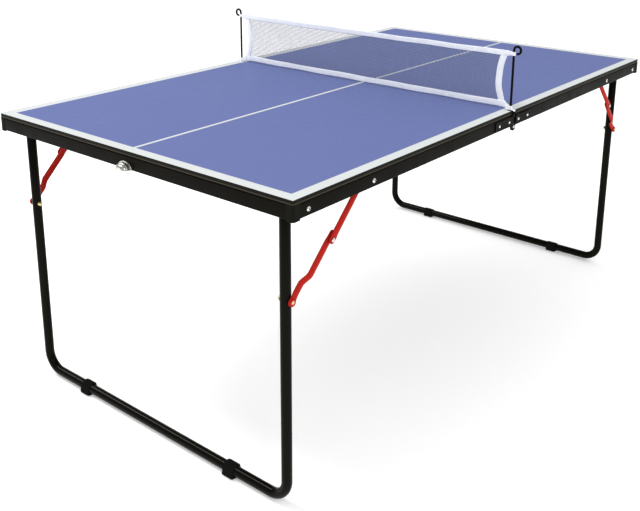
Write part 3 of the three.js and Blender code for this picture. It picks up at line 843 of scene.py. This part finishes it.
def add_long_tapes():
    """The tapes along the top and the bottom of the net."""
    for name, z, half_width, sag, phase, node in (
        ("net_head_tape", NET_TOP - HEAD_TAPE / 2, HEAD_TAPE / 2, 1.5, 0.4, "net_top_tape"),
        ("net_foot_tape", NET_BOTTOM + TAPE / 2, TAPE / 2, 0.6, 2.1, "net_bottom_tape"),
    ):
        tape = add_piece(name, long_tape(z, half_width, sag, phase), "tape", "net_set", replaces=[node])


def add_net_end(side_name):
    """One end of the net: its upright tape, the tapes' ends and the post that they go round."""
    side = SIDES[side_name]
    top_loop = post_loop(NET_TOP - HEAD_TAPE / 2, NET_TOP - 7, HEAD_TAPE / 2, 5)
    bottom_loop = post_loop(NET_BOTTOM + TAPE / 2, NET_BOTTOM + 2, TAPE / 2, 4.5)
    for part, shape, size, held in (
        ("side_tape", side_tape(), SIDE_TAPE_SIZE, "stretched"),
        ("top_loop", top_loop, LOOP_SIZE, "stretched"),
        ("bottom_loop", bottom_loop, LOOP_SIZE, "stretched"),
        ("edge_strap", bottom_strap(), STRAP_SIZE, "draped"),
    ):
        piece = add_piece(f"net_{side_name}_{part}", shape, "tape", "net_set", 1, side)
    post = tube(post_path(), POST_RADIUS, 20)
    add_piece(f"{side_name}_wire_post", post, "wire", "net_set", 1, side, [f"{side_name}_net_post"])


def add_net():
    mesh = add_piece("net_mesh", net_mesh(), "thread", "net_set", replaces=["net_panel"])
    add_long_tapes()
    for side_name in SIDES:
        add_net_end(side_name)


# ---- The catches --------------------------------------------------------------------------

# (radius, distance out) steps from the end rail's face
CATCH_PLATE = [
    (23, 0.3), (23, 1.3), (22.4, 2.1), (21.6, 2.1), (21.2, 0.9), (20.4, 0.9), (20, 2.3), (19.2, 2.5),
    (18.8, 1.2), (18, 1.2), (17.5, 2.4), (0.5, 2.4),
]
CATCH_KNOB = [
    (19.4, 2.7), (19.8, 5.0), (19.5, 9.0), (18.8, 10.8), (17.9, 11.4), (17.2, 9.8), (16.4, 9.8),
    (15.6, 13.0), (14.0, 15.6), (11.8, 17.3), (9.4, 18.1), (8.6, 16.8), (7.8, 16.8), (7.0, 18.2),
    (0.5, 18.7),
]


def catch_shape(profile):
    """Half a turned piece on the end rail, flat below and wider than it is tall."""
    lift = Vector((0, 0, CATCH_Z))
    angles = [math.pi * i / CATCH_STEPS for i in range(CATCH_STEPS + 1)]
    points, faces = shell([
        [Vector((END_X + out, radius * math.cos(a), radius * math.sin(a))) for a in angles]
        for radius, out in profile
    ])
    return [point * CATCH_STRETCH + lift for point in points], faces


def add_catches():
    """The near end's catch, whose knob turns on its plate, and the far end's plain one."""
    near = {
        "near_catch_base": (CATCH_PLATE, "near_half", "near_catch_plate"),
        "near_catch_dome": (CATCH_KNOB, "near_catch_knob", "near_catch_knob"),
    }
    for name, (profile, body, node) in near.items():
        add_piece(name, catch_shape(profile), "catch", body, -1, 1, [node])
    far = joined([catch_shape(CATCH_PLATE), catch_shape(CATCH_KNOB)])
    add_piece("far_catch_dome", far, "catch", "far_half", 1, 1, ["far_catch"])


# ---- The assembly -------------------------------------------------------------------------


def add_rail_bolts(end_name, side_name):
    """The leg's pivot bolt and the upper stay's, each with a washer and a black disc in its head's socket
    as painted shade.
    """
    end, side = ENDS[end_name], SIDES[side_name]
    half = f"{end_name}_half"
    bolts = {"leg": (LEG_BOLT, LEG_X), "upper_stay": (UPPER_STAY_BOLT, STAY_PIVOT_X)}
    for part, (profile, x) in bolts.items():
        name = f"{end_name}_{side_name}_{part}"
        bolt = turned(profile, x, PIVOT_Z)
        washer = turned(WASHER, x, PIVOT_Z)
        # The black disc in the head is painted shade in its socket
        socket = turned(SOCKET_SHADE, x, PIVOT_Z, 12)
        add_piece(f"{name}_screw", bolt, "chrome", half, end, side, [f"{name}_bolt"])
        add_piece(f"{name}_washer", washer, "wire", half, end, side)
        add_piece(f"{name}_socket_shade", socket, "wire", half, end, side)


def add_corner(end_name, side_name):
    end, side = ENDS[end_name], SIDES[side_name]
    where = f"{end_name}_{side_name}"
    half, leg = f"{end_name}_half", f"{end_name}_leg"
    add_piece(f"{where}_side_channel", side_rail(), "frame", half, end, side, [f"{where}_side_rail"])
    dress(f"{where}_corner_cap", "plastic", SOFT_CORNER)
    add_rail_bolts(end_name, side_name)
    add_piece(f"{where}_ribbed_foot", foot(), "rubber", leg, end, side, [f"{where}_foot"])
    add_stays(end_name, side_name)


def add_half(end_name):
    end = ENDS[end_name]
    half, leg = f"{end_name}_half", f"{end_name}_leg"
    dress(f"{end_name}_board", "playfield", SOFT_BOARD)
    add_piece(f"{end_name}_end_channel", end_rail(), "frame", half, end, 1, [f"{end_name}_end_rail"])
    dress(f"{end_name}_fold_rail", "frame")
    legs = tube(leg_path(), LEG_RADIUS, 40)
    add_piece(f"{leg}_tube", legs, "leg", leg, end, 1, [f"{leg}_frame"], sharp=50)
    for side_name in SIDES:
        add_corner(end_name, side_name)


def add_table():
    for end_name in ENDS:
        add_half(end_name)
    for side_name in SIDES:
        dress(f"far_{side_name}_hinge_plate", "frame")
        add_hinge(side_name)
    add_net()
    add_catches()


# ---- The set ------------------------------------------------------------------------------


def add_floor():
    half = FLOOR_HALF
    mesh = bpy.data.meshes.new("floor")
    corners = [(-half, -half), (half, -half), (half, half), (-half, half)]
    mesh.from_pydata([(x, y, FLOOR_Z) for x, y in corners], [], [(0, 1, 2, 3)])
    floor = bpy.data.objects.new("floor", mesh)
    glow = {"Emission_Color": (1, 1, 1, 1), "Emission_Strength": FLOOR_GLOW}
    mesh.materials.append(varied("pale floor", srgb(250, 250, 250), 0.004, 2.0, (0.85, 0.9), **glow))
    bpy.context.scene.collection.objects.link(floor)


def add_light(name, target, place, size, power):
    light = bpy.data.lights.new(name, "AREA")
    light.shape = "DISK"
    light.size = size
    light.energy = power
    lamp = bpy.data.objects.new(name, light)
    lamp.location = place
    lamp.rotation_euler = (Vector(target) - Vector(place)).to_track_quat("-Z", "Y").to_euler()
    bpy.context.scene.collection.objects.link(lamp)
    return light


def add_world():
    """A white room, whose mirror image in glossy surfaces is dimmer than its light."""
    world = bpy.data.worlds.new("white studio")
    bpy.context.scene.world = world
    world.use_nodes = True
    nodes, links = world.node_tree.nodes, world.node_tree.links
    background = nodes["Background"]
    background.inputs["Color"].default_value = (1, 1, 1, 1)
    dimmed = nodes.new("ShaderNodeMath")
    dimmed.operation = "MULTIPLY_ADD"
    dimmed.inputs[1].default_value = WORLD_IN_REFLECTIONS - WORLD_STRENGTH
    dimmed.inputs[2].default_value = WORLD_STRENGTH
    links.new(nodes.new("ShaderNodeLightPath").outputs["Is Glossy Ray"], dimmed.inputs[0])
    links.new(dimmed.outputs[0], background.inputs["Strength"])


def add_lights():
    """Two soft lamps, and a long one straight overhead that draws a streak along the floor bars."""
    add_light("key", ROOM_MIDDLE, *KEY)
    add_light("fill", ROOM_MIDDLE, *FILL)
    below = (*STRIP[0][:2], 0)
    strip = add_light("strip", below, *STRIP)
    strip.shape = "RECTANGLE"
    strip.size_y = STRIP_LENGTH


def add_camera():
    data = bpy.data.cameras.new("camera")
    data.sensor_width = SENSOR
    data.lens = LENS
    data.shift_x, data.shift_y = SHIFT
    azimuth, elevation, roll = map(math.radians, (AZIMUTH, ELEVATION, ROLL))
    level_back = Vector((math.sin(azimuth), -math.cos(azimuth), 0))
    back = level_back * math.cos(elevation) + Vector((0, 0, math.sin(elevation)))
    level = Vector((math.cos(azimuth), math.sin(azimuth), 0))
    upright = back.cross(level)
    right = level * math.cos(roll) + upright * math.sin(roll)
    up = upright * math.cos(roll) - level * math.sin(roll)
    camera = bpy.data.objects.new("camera", data)
    camera.rotation_euler = Matrix((right, up, back)).transposed().to_euler()
    camera.location = CAMERA
    bpy.context.scene.collection.objects.link(camera)
    bpy.context.scene.camera = camera


add_table()
add_floor()
add_world()
add_lights()
add_camera()
bpy.context.scene.view_settings.view_transform = "Standard"
